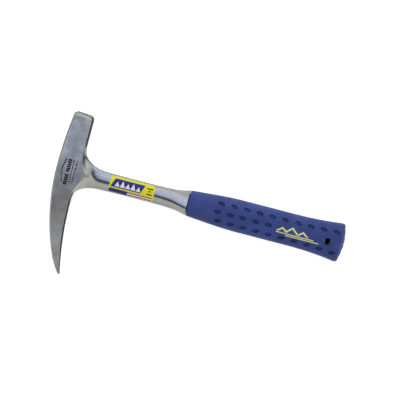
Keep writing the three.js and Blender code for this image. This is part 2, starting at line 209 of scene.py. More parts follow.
def per_metre(spacing_mm):
    """The texture scale whose features are about this far apart, in millimetres."""
    return 1 / (spacing_mm * MM)


# A colour Mix node has sockets for other kinds too, so its own are told by number.
MIX_SHARE, MIX_FIRST, MIX_SECOND, MIXED = 0, 6, 7, 2


def ground_forged_steel():
    """Forged carbon steel ground on a belt: satin, with fine lines along the head and a cloudy tone."""
    material, tree, place = new_material("ground_forged_carbon_steel")
    # Belt lines are about 0.15 mm apart; they are drawn at 0.5 mm, the finest that shows.
    run = add_node(tree, "ShaderNodeMapping", {"Vector": place, "Scale": (1, 1 / 25, 1)}).outputs["Vector"]
    lines = add_node(tree, "ShaderNodeTexNoise", {"Vector": run, "Scale": per_metre(0.5), "Detail": 3})
    clouds = add_node(tree, "ShaderNodeTexNoise", {"Vector": place, "Scale": per_metre(13), "Detail": 3})
    mottle = add_node(tree, "ShaderNodeTexNoise", {"Vector": place, "Scale": per_metre(1.8), "Detail": 3})
    cloudy = add_node(
        tree,
        "ShaderNodeMapRange",
        {"Value": clouds.outputs["Fac"], "From Min": 0.35, "From Max": 0.65},
    ).outputs["Result"]
    tone = add_node(
        tree,
        "ShaderNodeMix",
        {MIX_SHARE: cloudy, MIX_FIRST: linear(0xB4B6BA), MIX_SECOND: linear(0xDADCE0)},
        data_type="RGBA",
    ).outputs[MIXED]
    spots = add_node(
        tree,
        "ShaderNodeMapRange",
        {"Value": mottle.outputs["Fac"], "From Min": 0.45, "From Max": 0.75, "To Max": 0.55},
    ).outputs["Result"]
    tone = add_node(
        tree,
        "ShaderNodeMix",
        {MIX_SHARE: spots, MIX_FIRST: tone, MIX_SECOND: linear(0x90929A)},
        data_type="RGBA",
    ).outputs[MIXED]
    # Towards the pick's middle the steel is darker and warmer.
    height = add_node(tree, "ShaderNodeSeparateXYZ", {"Vector": place}).outputs["Y"]
    pick_middle_darkening = add_node(
        tree,
        "ShaderNodeMapRange",
        {
            "Value": height,
            "From Min": at(0, -88).y,
            "From Max": at(0, -42).y,
            "To Min": 0.2,
            "To Max": 0.45,
        },
        interpolation_type="SMOOTHSTEP",
    ).outputs["Result"]
    fade = add_node(
        tree,
        "ShaderNodeMapRange",
        {"Value": height, "From Min": at(0, -30).y, "From Max": at(0, 25).y, "To Min": 1, "To Max": 0},
        interpolation_type="SMOOTHSTEP",
    ).outputs["Result"]
    pick_middle_darkening = add_node(
        tree,
        "ShaderNodeMath",
        {0: pick_middle_darkening, 1: fade},
        operation="MULTIPLY",
    ).outputs["Value"]
    tone = add_node(
        tree,
        "ShaderNodeMix",
        {MIX_SHARE: pick_middle_darkening, MIX_FIRST: tone, MIX_SECOND: linear(0x686662)},
        data_type="RGBA",
    ).outputs[MIXED]
    satin = add_node(
        tree,
        "ShaderNodeMapRange",
        {"Value": lines.outputs["Fac"], "From Min": 0.3, "From Max": 0.7, "To Min": 0.3, "To Max": 0.44},
    ).outputs["Result"]
    relief = add_node(
        tree,
        "ShaderNodeBump",
        {"Height": lines.outputs["Fac"], "Distance": 0.02 * MM, "Strength": 0.5},
    ).outputs["Normal"]
    shader = add_node(
        tree,
        "ShaderNodeBsdfPrincipled",
        {"Base Color": tone, "Metallic": 1.0, "Roughness": satin, "Normal": relief},
    )
    add_node(tree, "ShaderNodeOutputMaterial", {"Surface": shader.outputs["BSDF"]})
    return material


def polished_forged_steel():
    """Forged carbon steel polished on a mop: nearly a mirror, but still a little wavy from the dies.

    The mop didn't reach into the corners and edges of the head, which stay satin; they are also painted
    paler, a painted highlight on the neck's root.
    """
    material, tree, place = new_material("polished_forged_carbon_steel")
    run = add_node(tree, "ShaderNodeMapping", {"Vector": place, "Scale": (1 / 3, 1, 1)}).outputs["Vector"]
    waves = add_node(tree, "ShaderNodeTexNoise", {"Vector": run, "Scale": per_metre(6), "Detail": 1})
    run = add_node(tree, "ShaderNodeMapping", {"Vector": place, "Scale": (1 / 6, 1, 1)}).outputs["Vector"]
    haze = add_node(tree, "ShaderNodeTexNoise", {"Vector": run, "Scale": per_metre(0.9), "Detail": 2})
    hazy = add_node(
        tree,
        "ShaderNodeMapRange",
        {"Value": haze.outputs["Fac"], "From Min": 0.3, "From Max": 0.7},
    ).outputs["Result"]
    tone = add_node(
        tree,
        "ShaderNodeMix",
        {MIX_SHARE: hazy, MIX_FIRST: linear(0xADAFB2), MIX_SECOND: linear(0xC4C6CA)},
        data_type="RGBA",
    ).outputs[MIXED]
    length = add_node(tree, "ShaderNodeSeparateXYZ", {"Vector": place}).outputs["X"]
    # Towards the head the steel is painted paler, a painted highlight on the neck's root, and it is rougher
    # there.
    painted_highlight_and_satin = add_node(
        tree,
        "ShaderNodeMapRange",
        {"Value": length, "From Min": at(46).x, "From Max": at(32).x},
        interpolation_type="SMOOTHSTEP",
    ).outputs["Result"]
    tone = add_node(
        tree,
        "ShaderNodeMix",
        {MIX_SHARE: painted_highlight_and_satin, MIX_FIRST: tone, MIX_SECOND: linear(0xBEBFBC)},
        data_type="RGBA",
    ).outputs[MIXED]
    mirror = add_node(
        tree,
        "ShaderNodeMapRange",
        {"Value": hazy, "To Min": 0.12, "To Max": 0.2},
    ).outputs["Result"]
    gloss = add_node(
        tree,
        "ShaderNodeMath",
        {0: painted_highlight_and_satin, 1: 0.07, 2: mirror},
        operation="MULTIPLY_ADD",
    ).outputs["Value"]
    relief = add_node(
        tree,
        "ShaderNodeBump",
        {"Height": waves.outputs["Fac"], "Distance": 0.08 * MM, "Strength": 1.0},
    ).outputs["Normal"]
    shader = add_node(
        tree,
        "ShaderNodeBsdfPrincipled",
        {"Base Color": tone, "Metallic": 1.0, "Roughness": gloss, "Normal": relief},
    )
    add_node(tree, "ShaderNodeOutputMaterial", {"Surface": shader.outputs["BSDF"]})
    return material


def dark_reflection_forged_steel():
    """Forged carbon steel painted dark and flecked at random: a painted dark reflection on the head's inner
    chamfers.
    """
    material, tree, place = new_material("painted_dark_reflection_carbon_steel")
    flecks = add_node(tree, "ShaderNodeTexNoise", {"Vector": place, "Scale": per_metre(2.2), "Detail": 3})
    worn = add_node(
        tree,
        "ShaderNodeMapRange",
        {"Value": flecks.outputs["Fac"], "From Min": 0.4, "From Max": 0.7},
    ).outputs["Result"]
    tone = add_node(
        tree,
        "ShaderNodeMix",
        {MIX_SHARE: worn, MIX_FIRST: linear(0x4C4E56), MIX_SECOND: linear(0x70727A)},
        data_type="RGBA",
    ).outputs[MIXED]
    satin = add_node(
        tree,
        "ShaderNodeMapRange",
        {"Value": worn, "To Min": 0.38, "To Max": 0.26},
    ).outputs["Result"]
    shader = add_node(
        tree,
        "ShaderNodeBsdfPrincipled",
        {"Base Color": tone, "Metallic": 1.0, "Roughness": satin},
    )
    add_node(tree, "ShaderNodeOutputMaterial", {"Surface": shader.outputs["BSDF"]})
    return material


def moulded_vinyl(name, light, dark, shine=0.5):
    """Injection-moulded nylon-vinyl: even colour under a satin skin with a fine spark-eroded grain."""
    material, tree, place = new_material(name)
    # The grain is about 0.2 mm; it is drawn at 0.7 mm, the finest that shows.
    grain = add_node(tree, "ShaderNodeTexNoise", {"Vector": place, "Scale": per_metre(0.7), "Detail": 2})
    clouds = add_node(tree, "ShaderNodeTexNoise", {"Vector": place, "Scale": per_metre(16), "Detail": 2})
    cloudy = add_node(
        tree,
        "ShaderNodeMapRange",
        {"Value": clouds.outputs["Fac"], "From Min": 0.35, "From Max": 0.65},
    ).outputs["Result"]
    tone = add_node(
        tree,
        "ShaderNodeMix",
        {MIX_SHARE: cloudy, MIX_FIRST: linear(dark), MIX_SECOND: linear(light)},
        data_type="RGBA",
    ).outputs[MIXED]
    speckle = add_node(
        tree,
        "ShaderNodeMapRange",
        {"Value": grain.outputs["Fac"], "From Min": 0.5, "From Max": 0.75, "To Max": 0.6},
    ).outputs["Result"]
    tone = add_node(
        tree,
        "ShaderNodeMix",
        {MIX_SHARE: speckle, MIX_FIRST: tone, MIX_SECOND: linear(dark)},
        data_type="RGBA",
    ).outputs[MIXED]
    satin = add_node(
        tree,
        "ShaderNodeMapRange",
        {"Value": grain.outputs["Fac"], "From Min": 0.3, "From Max": 0.7, "To Min": 0.46, "To Max": 0.6},
    ).outputs["Result"]
    relief = add_node(
        tree,
        "ShaderNodeBump",
        {"Height": grain.outputs["Fac"], "Distance": 0.05 * MM, "Strength": 0.5},
    ).outputs["Normal"]
    shader = add_node(
        tree,
        "ShaderNodeBsdfPrincipled",
        {"Base Color": tone, "Roughness": satin, "IOR": 1.5, "Specular IOR Level": shine, "Normal": relief},
    )
    add_node(tree, "ShaderNodeOutputMaterial", {"Surface": shader.outputs["BSDF"]})
    return material


def printed_ink(name, colour, worn, gloss=0.45, shine=0.5):
    """Screen-printed ink or film: nearly flat colour that thins a little in places."""
    material, tree, place = new_material(name)
    patches = add_node(tree, "ShaderNodeTexNoise", {"Vector": place, "Scale": per_metre(1.6), "Detail": 3})
    thin = add_node(
        tree,
        "ShaderNodeMapRange",
        {"Value": patches.outputs["Fac"], "From Min": 0.5, "From Max": 0.75, "To Max": 0.5},
    ).outputs["Result"]
    tone = add_node(
        tree,
        "ShaderNodeMix",
        {MIX_SHARE: thin, MIX_FIRST: linear(colour), MIX_SECOND: linear(worn)},
        data_type="RGBA",
    ).outputs[MIXED]
    sheen = add_node(
        tree,
        "ShaderNodeMapRange",
        {
            "Value": patches.outputs["Fac"],
            "From Min": 0.3,
            "From Max": 0.7,
            "To Min": gloss,
            "To Max": gloss + 0.12,
        },
    ).outputs["Result"]
    shader = add_node(
        tree,
        "ShaderNodeBsdfPrincipled",
        {"Base Color": tone, "Roughness": sheen, "IOR": 1.5, "Specular IOR Level": shine},
    )
    add_node(tree, "ShaderNodeOutputMaterial", {"Surface": shader.outputs["BSDF"]})
    return material


GROUND_STEEL = ground_forged_steel()
POLISHED_STEEL = polished_forged_steel()
DARK_REFLECTION_STEEL = dark_reflection_forged_steel()
VINYL = moulded_vinyl("moulded_blue_nylon_vinyl", 0x2E4288, 0x263876)
# The walls of the pockets and holes are the grip's vinyl painted dark: painted shade in the hollows.
POCKET_WALL_SHADE_VINYL = moulded_vinyl("blue_vinyl_painted_pocket_wall_shade", 0x12184C, 0x0D1138, 0.15)
# The pocket floors are the grip's vinyl painted a little darker: painted shade at the bottom of the hollows.
POCKET_FLOOR_SHADE_VINYL = moulded_vinyl("blue_vinyl_painted_pocket_floor_shade", 0x2C3D88, 0x22306E, 0.3)
YELLOW_FILM = printed_ink("yellow_polyester_film", 0xDEDC10, 0xCFCC10, 0.3)
NAVY_INK = printed_ink("navy_screen_ink", 0x1C1C78, 0x2A2A86)
RED_INK = printed_ink("red_screen_ink", 0xA01830, 0xB03A50)
WHITE_INK = printed_ink("white_screen_ink", 0xE6E2E6, 0xD8D2D8)
BLACK_INK = printed_ink("black_marking_ink", 0x0C0C0E, 0x1E1E22, 0.7, 0.1)
GREY_INK = printed_ink("thin_black_marking_ink", 0x2A2A2E, 0x48494E, 0.7, 0.1)
CREAM_INK = printed_ink("cream_pad_printed_ink", 0xDADB86, 0xC6C77C)


def coat(piece, material):
    """Gives a whole piece one material."""
    piece.data.materials.clear()
    piece.data.materials.append(material)
    return piece


# ---- the forging ---------------------------------------------------------------------------------

SHARP = math.radians(24)  # edges that turn more than this stay edges
HEAD_END = 37.0  # no ground face or painted dark reflection lies further along the handle
CHEEK_LEAN = math.radians(11)  # the ground cheeks lean less than this
FACE_ON = 0.99  # the striking face looks at least this squarely along the poll
ROOT_PICK_SIDE, ROOT_POLL_SIDE = -20.0, 33.0  # between these the neck grows out of the head


def model_forging():
    only(frame["nodes"]["forged_steel_body"])
    bpy.ops.object.duplicate()
    piece = bpy.context.object
    bpy.ops.object.parent_clear(type="CLEAR_KEEP_TRANSFORM")
    del piece["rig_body"], piece["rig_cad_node"]
    edit("EDGE")
    bpy.ops.mesh.select_all(action="SELECT")
    bpy.ops.mesh.customdata_custom_splitnormals_clear()
    bpy.ops.mesh.remove_doubles(threshold=0.001 * MM)
    bpy.ops.mesh.tris_convert_to_quads(face_threshold=math.radians(60), shape_threshold=math.pi)
    bpy.ops.mesh.select_all(action="DESELECT")
    bpy.ops.mesh.edges_select_sharp(sharpness=SHARP)
    bpy.ops.transform.edge_crease(value=1)
    leave("forged_hammer")
    finish_with(piece, "SUBSURF", levels=2, render_levels=2)
    finish_with(piece, "BEVEL", width=0.22 * MM, segments=2, limit_method="ANGLE", angle_limit=SHARP)
    coat(piece, POLISHED_STEEL)
    piece.data.materials.append(GROUND_STEEL)
    piece.data.materials.append(DARK_REFLECTION_STEEL)

    # The cheeks and the striking face are ground flat, and the chamfers on the head's inner side are
    # painted dark, a painted reflection. The rest is polished.
    only(piece)
    edit("FACE")
    head_end = at(HEAD_END).x

    def is_ground(face):
        flat = abs(face.normal.z) > math.cos(CHEEK_LEAN) or face.normal.y > FACE_ON
        return flat and face.calc_center_median().x < head_end

    def is_inner_chamfer(face):
        middle = face.calc_center_median()
        beside_root = at(0, ROOT_PICK_SIDE).y < middle.y < at(0, ROOT_POLL_SIDE).y
        slanted = face.normal.x > 0.35 and 0.25 < abs(face.normal.z) < 0.95
        return slanted and middle.x < head_end and not beside_root

    for slot, test in ((1, is_ground), (2, is_inner_chamfer)):
        pick(test, "FACE")
        piece.active_material_index = slot
        bpy.ops.object.material_slot_assign()
    bpy.ops.object.mode_set(mode="OBJECT")
    bpy.ops.object.shade_smooth_by_angle(angle=SHARP)
    return piece


# ---- the grip ------------------------------------------------------------------------------------

GRIP_START_WIDTH, GRIP_WIDTH, BUTT_WIDTH = 28.6, 36.0, 45.6
GRIP_START_THICKNESS, GRIP_THICKNESS = 21.4, 24.0
SWELL_LENGTH, BUTT_FLARE = 58.0, 62.0
WIDTH_LEAD, THICKNESS_LEAD = 0.4 * SWELL_LENGTH, 12.0  # how far ahead of the grip its swell begins
FLARE_POWER = 2.2
LIP = 1.6  # how far the rounded lip at the collar runs
BUTT_CORNER, BUTT_CROWN, BUTT_DROP = 3.4, 2.8, 0.4
RING_POINTS = 24


def smoothstep(x, start, end):
    share = min(1, max(0, (x - start) / (end - start)))
    return share * share * (3 - 2 * share)


def butt_share(x):
    return min(1, max(0, 1 - (GRIP_END - x) / BUTT_FLARE))


def grip_half_width(x):
    begin, end = GRIP_START - WIDTH_LEAD, GRIP_START + SWELL_LENGTH
    first = smoothstep(GRIP_START, begin, end)
    swell = (smoothstep(x, begin, end) - first) / (1 - first)
    body = GRIP_START_WIDTH + (GRIP_WIDTH - GRIP_START_WIDTH) * swell
    return (body + (BUTT_WIDTH - GRIP_WIDTH) * butt_share(x) ** FLARE_POWER) / 2


def grip_half_thickness(x):
    swell = smoothstep(x, GRIP_START - THICKNESS_LEAD, GRIP_START + SWELL_LENGTH)
    return (GRIP_START_THICKNESS + (GRIP_THICKNESS - GRIP_START_THICKNESS) * swell) / 2


def grip_middle(x):
    return at(x, -BUTT_DROP * butt_share(x) ** 2)


def grip_stations():
    """Each station's place along the handle, half width and half thickness."""
    rim = GRIP_END - BUTT_CROWN - BUTT_CORNER
    body = GRIP_START + LIP
    stations = [(GRIP_START, -2.4), (GRIP_START, -0.45), (GRIP_START + 0.25, -0.1), (body, 0)]
    steps = 22
    stations += [(body + (rim - body) * i / steps, 0) for i in range(1, steps + 1)]
    sizes = [(x, grip_half_width(x) + grow, grip_half_thickness(x) + grow) for x, grow in stations]
    width, thickness = sizes[-1][1:]
    for turn in (25, 50, 72, 90):
        inset = BUTT_CORNER * (1 - math.cos(math.radians(turn)))
        sizes.append((rim + BUTT_CORNER * math.sin(math.radians(turn)), width - inset, thickness - inset))
    width, thickness = sizes[-1][1:]
    for share in (0.84, 0.62, 0.38, 0.14):
        sizes.append((GRIP_END - BUTT_CROWN * share**2, width * share, thickness * share))
    return sizes


def squarish(angle, power=2.5):
    """How far out a squarish oval stands from a circle, at an angle."""
    return (abs(math.cos(angle)) ** power + abs(math.sin(angle)) ** power) ** (-1 / power)


def model_grip_body():
    # A ring is drawn in by its subdivision, so it starts a little larger.
    grow = 3 / (2 + math.cos(2 * math.pi / RING_POINTS))
    sizes = grip_stations()
    start = grip_middle(sizes[0][0])
    add("circle", vertices=RING_POINTS, radius=MM * grow, location=start, rotation=(0, math.pi / 2, 0))
    for step in (15, 30, 45):
        factor = squarish(math.radians(step))

        def on_step(vertex):
            angle = math.degrees(math.atan2(abs(vertex.co.x), abs(vertex.co.y)))
            return abs(min(angle, 90 - angle) - step) < 1

        pick(on_step)
        bpy.ops.transform.resize(value=(1, factor, factor), center_override=start)
    bpy.ops.mesh.select_all(action="SELECT")
    bpy.ops.transform.resize(value=(1, sizes[0][1], sizes[0][2]), center_override=start)
    for (x, wide, thick), (next_x, next_wide, next_thick) in zip(sizes, sizes[1:]):
        here, there = grip_middle(x), grip_middle(next_x)
        extrude(there - here, (1, next_wide / wide, next_thick / thick), there)
    bpy.ops.mesh.fill_grid(span=RING_POINTS // 4)
    pick(lambda edge: edge.is_boundary, "EDGE")
    bpy.ops.mesh.fill_grid(span=RING_POINTS // 4)
    outward()
    piece = leave("moulded_grip")
    finish_with(piece, "SUBSURF", levels=2, render_levels=2)
    return coat(piece, VINYL)


def stepped_post(outline, levels, name, bands, vertices=28):
    """An oval post along Z made of levels: a height and how far its wall stands out, in millimetres.

    Its wall is vinyl painted dark as shade, apart from the bands: a lowest and highest height, and their
    material.
    """
    length, width = outline
    bottom, inset = levels[0]
    add("circle", vertices=vertices, radius=0.5 * MM, fill_type="NGON", location=(0, 0, bottom * MM))
    bpy.ops.mesh.select_all(action="SELECT")
    size = (length + 2 * inset, width + 2 * inset, 1)
    bpy.ops.transform.resize(value=size, center_override=(0, 0, bottom * MM))
    for (low, first), (high, second) in zip(levels, levels[1:]):
        size = ((length + 2 * second) / (length + 2 * first), (width + 2 * second) / (width + 2 * first), 1)
        extrude((0, 0, (high - low) * MM), size, (0, 0, high * MM))
    outward()
    post = coat(leave(name), POCKET_WALL_SHADE_VINYL)
    edit("FACE")
    for low, high, material in bands:
        post.data.materials.append(material)
        pick(lambda face: low * MM < face.calc_center_median().z < high * MM, "FACE")
        post.active_material_index = len(post.data.materials) - 1
        bpy.ops.object.material_slot_assign()
    bpy.ops.object.mode_set(mode="OBJECT")
    return post


POCKET = (7.6, 4.2)
POCKET_LEVELS = (
    (-1.6, -1.35),
    (-1.55, -1.0),
    (-1.3, -0.65),
    (-0.8, -0.32),
    (-0.2, -0.05),
    (-0.05, 0.12),
    (0.15, 0.4),
    (0.8, 0.55),
)
POCKET_BANDS = ((-2, -1.4, POCKET_FLOOR_SHADE_VINYL), (-0.15, 1, VINYL))
POCKET_PITCH = 14.55
OUTER_POCKETS, MIDDLE_POCKETS = 10, 5
FIRST_POCKET, MIDDLE_LEAD = 36.2, 2.6
OUTER_ROW = 0.56
TOE_IN = math.radians(15)


def pocket_places():
    """Where each pocket goes on one side: along the handle, across it, and how far it turns."""
    for i in range(OUTER_POCKETS):
        x = GRIP_START + FIRST_POCKET + i * POCKET_PITCH
        for row in (1, -1):
            middle = (grip_middle(x).y - HANDLE_Y) / MM
            yield x, middle + row * OUTER_ROW * grip_half_width(x), -row * TOE_IN
    for i in range(MIDDLE_POCKETS):
        yield GRIP_START + FIRST_POCKET - MIDDLE_LEAD + i * POCKET_PITCH, 0, 0


def pocket_cutters(body):
    first = stepped_post(POCKET, POCKET_LEVELS, "pocket_cutter", POCKET_BANDS)
    cutters = []
    for side in (1, -1):
        for x, y, turn in pocket_places():
            _, place, normal, _ = body.ray_cast(at(x, y, CLEAR * side), Vector((0, 0, -side)))
            along = Vector((math.cos(turn), math.sin(turn), 0))
            along = (along - along.project(normal)).normalized()
            only(first)
            bpy.ops.object.duplicate()
            post = bpy.context.object
            axes = Matrix((along, normal.cross(along), normal)).transposed()
            post.matrix_world = Matrix.Translation(place) @ axes.to_4x4()
            cutters.append(post)
    bpy.data.objects.remove(first)
    return join(cutters, "pocket_cutters")


HOLE_FROM_BUTT, HOLE_Y, HOLE = 18.5, -1.0, 7.2
GROOVES, GROOVE_PITCH, GROOVE_DEPTH, GROOVE_RADIUS = 5, 8.2, 0.6, 3.2


def hole_cutter():
    top = GRIP_THICKNESS / 2
    rim = [(top - 0.7, 0), (top - 0.35, 0.08), (top - 0.05, 0.3), (top + 0.3, 0.75), (top + 2, 0.9)]
    levels = [(-z, grow) for z, grow in reversed(rim)] + rim
    bands = ((-2 * top, 0.2 - top, VINYL), (top - 0.2, 2 * top, VINYL))
    post = stepped_post((HOLE, HOLE), levels, "hole_cutter", bands, 40)
    post.location = at(GRIP_END - HOLE_FROM_BUTT, HOLE_Y)
    only(post)
    return leave("hole_cutter")


def groove_cutters():
    grooves = []
    for i in range(GROOVES):
        y = (i - GROOVES // 2) * GROOVE_PITCH
        face = GRIP_END - BUTT_CROWN * (y / (BUTT_WIDTH / 2 - BUTT_CORNER)) ** 2
        add(
            "cylinder",
            vertices=48,
            radius=GROOVE_RADIUS * MM,
            depth=3 * GRIP_THICKNESS * MM,
            location=at(face + GROOVE_RADIUS - GROOVE_DEPTH, y),
        )
        grooves.append(coat(leave("groove_cutter"), VINYL))
    return join(grooves, "groove_cutters")


TANG_WIDTH, TANG_END_WIDTH = 19.0, 16.0
TANG_THICKNESS, TANG_END_THICKNESS = 8.4, 7.0
TANG_ROOT_LENGTH, TANG_ROOT_EXTRA = 5.0, 2.0
TANG_FROM_BUTT = 10.0
TANG_GAP = 0.35
OVAL_MARGIN = 1.06  # the room's ovals are this much larger than the sizes they stand for


def tang_cutter():
    """The room that the steel's tang takes up inside the grip, open towards the collar."""
    root = (TANG_WIDTH + TANG_ROOT_EXTRA, TANG_THICKNESS + TANG_ROOT_EXTRA)
    levels = (
        (GRIP_START - 3, *root),
        (GRIP_START + TANG_ROOT_LENGTH, *root),
        (GRIP_START + 2 * TANG_ROOT_LENGTH, TANG_WIDTH, TANG_THICKNESS),
        (GRIP_END - TANG_FROM_BUTT + TANG_GAP, TANG_END_WIDTH, TANG_END_THICKNESS),
    )
    sizes = [(x, width / 2 + TANG_GAP, thickness / 2 + TANG_GAP) for x, width, thickness in levels]
    start, width, thickness = sizes[0]
    turn = (0, math.pi / 2, 0)
    add("circle", vertices=24, radius=MM, fill_type="NGON", location=at(start), rotation=turn)
    bpy.ops.mesh.select_all(action="SELECT")
    size = (1, width * OVAL_MARGIN, thickness * OVAL_MARGIN)
    bpy.ops.transform.resize(value=size, center_override=at(start))
    for (x, wide, thick), (next_x, next_wide, next_thick) in zip(sizes, sizes[1:]):
        extrude(at(next_x) - at(x), (1, next_wide / wide, next_thick / thick), at(next_x))
    outward()
    # The room's walls take the vinyl painted dark as shade.
    return coat(leave("tang_cutter"), POCKET_WALL_SHADE_VINYL)


def model_grip():
    grip = model_grip_body()
    pockets = pocket_cutters(grip)
    cut(grip, tang_cutter())
    cut(grip, groove_cutters())
    cut(grip, pockets)
    cut(grip, hole_cutter())
    only(grip)
    edit()
    bpy.ops.mesh.select_all(action="SELECT")
    bpy.ops.mesh.remove_doubles(threshold=0.001 * MM)
    bpy.ops.object.mode_set(mode="OBJECT")
    bpy.ops.object.shade_smooth_by_angle(angle=math.radians(32))
    finish_with(grip, "WEIGHTED_NORMAL", keep_sharp=True, weight=60)
    return grip


# ---- printing: thin shapes that lie on the surface below them -------------------------------------


FINE_STRIP = 0.8  # strips this wide bend well round the neck


def sheet_of_ink(material, name, bounds, slants=(), cell=FINE_STRIP, corner=0):
    """A flat shape above the hammer: a rectangle whose corners are rounded or cut off by slants.

    A slant is a place and the direction of what it cuts away. The shape is then cut into strips, which
    bend when it is laid down.
    """
    x0, x1, y0, y1 = bounds
    add("plane", size=1, location=at((x0 + x1) / 2, (y0 + y1) / 2, CLEAR))
    bpy.ops.mesh.select_all(action="SELECT")
    size = ((x1 - x0) * MM, (y1 - y0) * MM, 1)
    bpy.ops.transform.resize(value=size, center_override=at((x0 + x1) / 2, (y0 + y1) / 2, CLEAR))
    if corner:
        bpy.ops.mesh.bevel(offset=corner * MM, segments=5, affect="VERTICES")
    for (x, y), (away_x, away_y) in slants:
        bpy.ops.mesh.select_all(action="SELECT")
        away = Vector((away_x, away_y, 0)).normalized()
        bpy.ops.mesh.bisect(plane_co=at(x, y, CLEAR), plane_no=away, clear_outer=True)
    for low, high, normal, place in ((x0, x1, (1, 0, 0), (1, 0)), (y0, y1, (0, 1, 0), (0, 1))):
        for i in range(1, math.ceil((high - low) / cell)):
            level = low + i * cell
            cut_at = at(level * place[0], level * place[1], CLEAR)
            bpy.ops.mesh.select_all(action="SELECT")
            bpy.ops.mesh.bisect(plane_co=cut_at, plane_no=normal)
    return coat(leave(name), material)


def lay_on(piece, below, lift, film=0.03):
    """Lays a flat shape on the piece below it and gives it a thickness, in millimetres."""
    finish_with(
        piece,
        "SHRINKWRAP",
        target=below,
        wrap_method="PROJECT",
        use_project_z=True,
        use_negative_direction=True,
        use_positive_direction=False,
        offset=lift * MM,
    )
    finish_with(piece, "SOLIDIFY", thickness=film * MM, offset=1)
    only(piece)
    bpy.ops.object.shade_smooth_by_angle(angle=math.radians(40))
    return piece


LABEL_START, LABEL_END, LABEL_HALF = 61.8, 112.6, 9.0
PRINT_SPLIT = 83.0  # where the navy panel ends and the striped band starts
BAND_LOW, BAND_HIGH = 0.2 - LABEL_HALF, -4.3
ON_FILM, OVER_NAVY, OVER_WHITE = 0.33, 0.39, 0.45  # how far each layer of ink is lifted off the steel


def model_label(forging):
    """A yellow label: a slanted navy block with plain peaks, three lines, a navy panel and stripes."""
    start, end, half = LABEL_START, LABEL_END, LABEL_HALF
    film = sheet_of_ink(YELLOW_FILM, "neck_label_film", (start, end, -half, half), corner=2.6)
    lay_on(film, forging, 0.1, 0.14)

    lean = 0.4
    slants = [((65.2, 2.4), (-1, lean)), ((99.2, 2.4), (1, -lean))]
    block = sheet_of_ink(NAVY_INK, "label_block", (62.6, 103, -2.6, 7.0), slants)
    square_end = [((PRINT_SPLIT, 0), (1, 0))]
    bounds = (start + 0.3, PRINT_SPLIT + 4, BAND_LOW, BAND_HIGH)
    panel = sheet_of_ink(NAVY_INK, "label_panel", bounds, square_end, corner=2.0)
    lay_on(join([block, panel], "label_navy_print"), forging, ON_FILM)

    band_end = end - 1.6
    white = sheet_of_ink(WHITE_INK, "label_band", (PRINT_SPLIT, band_end, BAND_LOW, BAND_HIGH))
    peaks = []
    base, reach = -1.4, 2.95
    for middle, height in ((70.4, 5.4), (76.4, 7.2), (82.4, 5.6), (88.4, 7.2), (94.4, 5.2)):
        slope = height / reach
        sides = [((middle, base + height), (side * slope, 1)) for side in (1, -1)]
        bounds = (middle - reach, middle + reach, base, base + height)
        peaks.append(sheet_of_ink(WHITE_INK, "peak", bounds, sides))
    lay_on(join([white, *peaks], "label_white_print"), forging, OVER_NAVY)

    thick = 1.2
    stripes = [
        sheet_of_ink(RED_INK, "stripe", (PRINT_SPLIT, band_end, y, y + thick))
        for y in (-5.7, -8.3)
    ]
    lay_on(join(stripes, "label_red_stripes"), forging, OVER_WHITE)

    lines = [
        sheet_of_ink(BLACK_INK, "line", (middle - length / 2, middle + length / 2, y, y + thick))
        for middle, length, y in ((107.0, 6.6, 4.2), (106.8, 2.6, 1.3), (107.2, 6.0, -2.0))
    ]
    lay_on(join(lines, "label_black_lines"), forging, ON_FILM)
    return film


def model_head_marking(forging):
    """A plain arc, a bold broken bar and two fine broken lines, run along the head."""
    marks = []
    bar_middle, bar_width, pitch, start = 13.7, 4.1, 2.46, 16.0
    bars, left_out = 12, 6
    for i in range(bars):
        if i == left_out:
            continue
        y = start - i * pitch
        lean = 0.12 if i % 2 else -0.12
        slants = [((bar_middle, y - 0.3), (lean, 1)), ((bar_middle, y - pitch + 0.3), (lean, -1))]
        bounds = (bar_middle - bar_width / 2, bar_middle + bar_width / 2, y - pitch - 0.4, y + 0.4)
        marks.append(sheet_of_ink(BLACK_INK, "bar", bounds, slants, 4))
    half_dash, dash_gap = 0.55, 0.7
    for x, dashes in (
        (17.9, (3.4, 1.8, 4.2, 2.6, 3.6, 2.2, 4.0)),
        (21.3, (2.2, 3.8, 3.0, 1.8, 4.4, 3.4, 2.6)),
    ):
        y = start - 0.4
        for dash in dashes:
            marks.append(sheet_of_ink(GREY_INK, "dash", (x - half_dash, x + half_dash, y - dash, y), cell=6))
            y -= dash + dash_gap
    radius, left, middle_y = 34.0, 7.2, 3.0
    for width, first, last in ((1.2, 15.4, 5.0), (0.8, 5.0, -12.0)):
        centre = at(left + radius, middle_y, CLEAR)
        add("plane", size=1, location=at(left, middle_y, CLEAR))
        bpy.ops.mesh.select_all(action="SELECT")
        bpy.ops.transform.resize(value=(width * MM, 0, 1), center_override=at(left, middle_y, CLEAR))
        bpy.ops.mesh.remove_doubles(threshold=0.01 * MM)
        bpy.ops.mesh.select_all(action="SELECT")
        begin, turn = (first - middle_y) / radius, (first - last) / radius
        bpy.ops.transform.rotate(value=begin, orient_axis="Z", center_override=centre)
        bpy.ops.mesh.spin(steps=12, angle=-turn, center=centre, axis=(0, 0, 1))
        marks.append(coat(leave("arc"), BLACK_INK))
    return lay_on(join(marks, "head_marking"), forging, 0.02, 0.02)


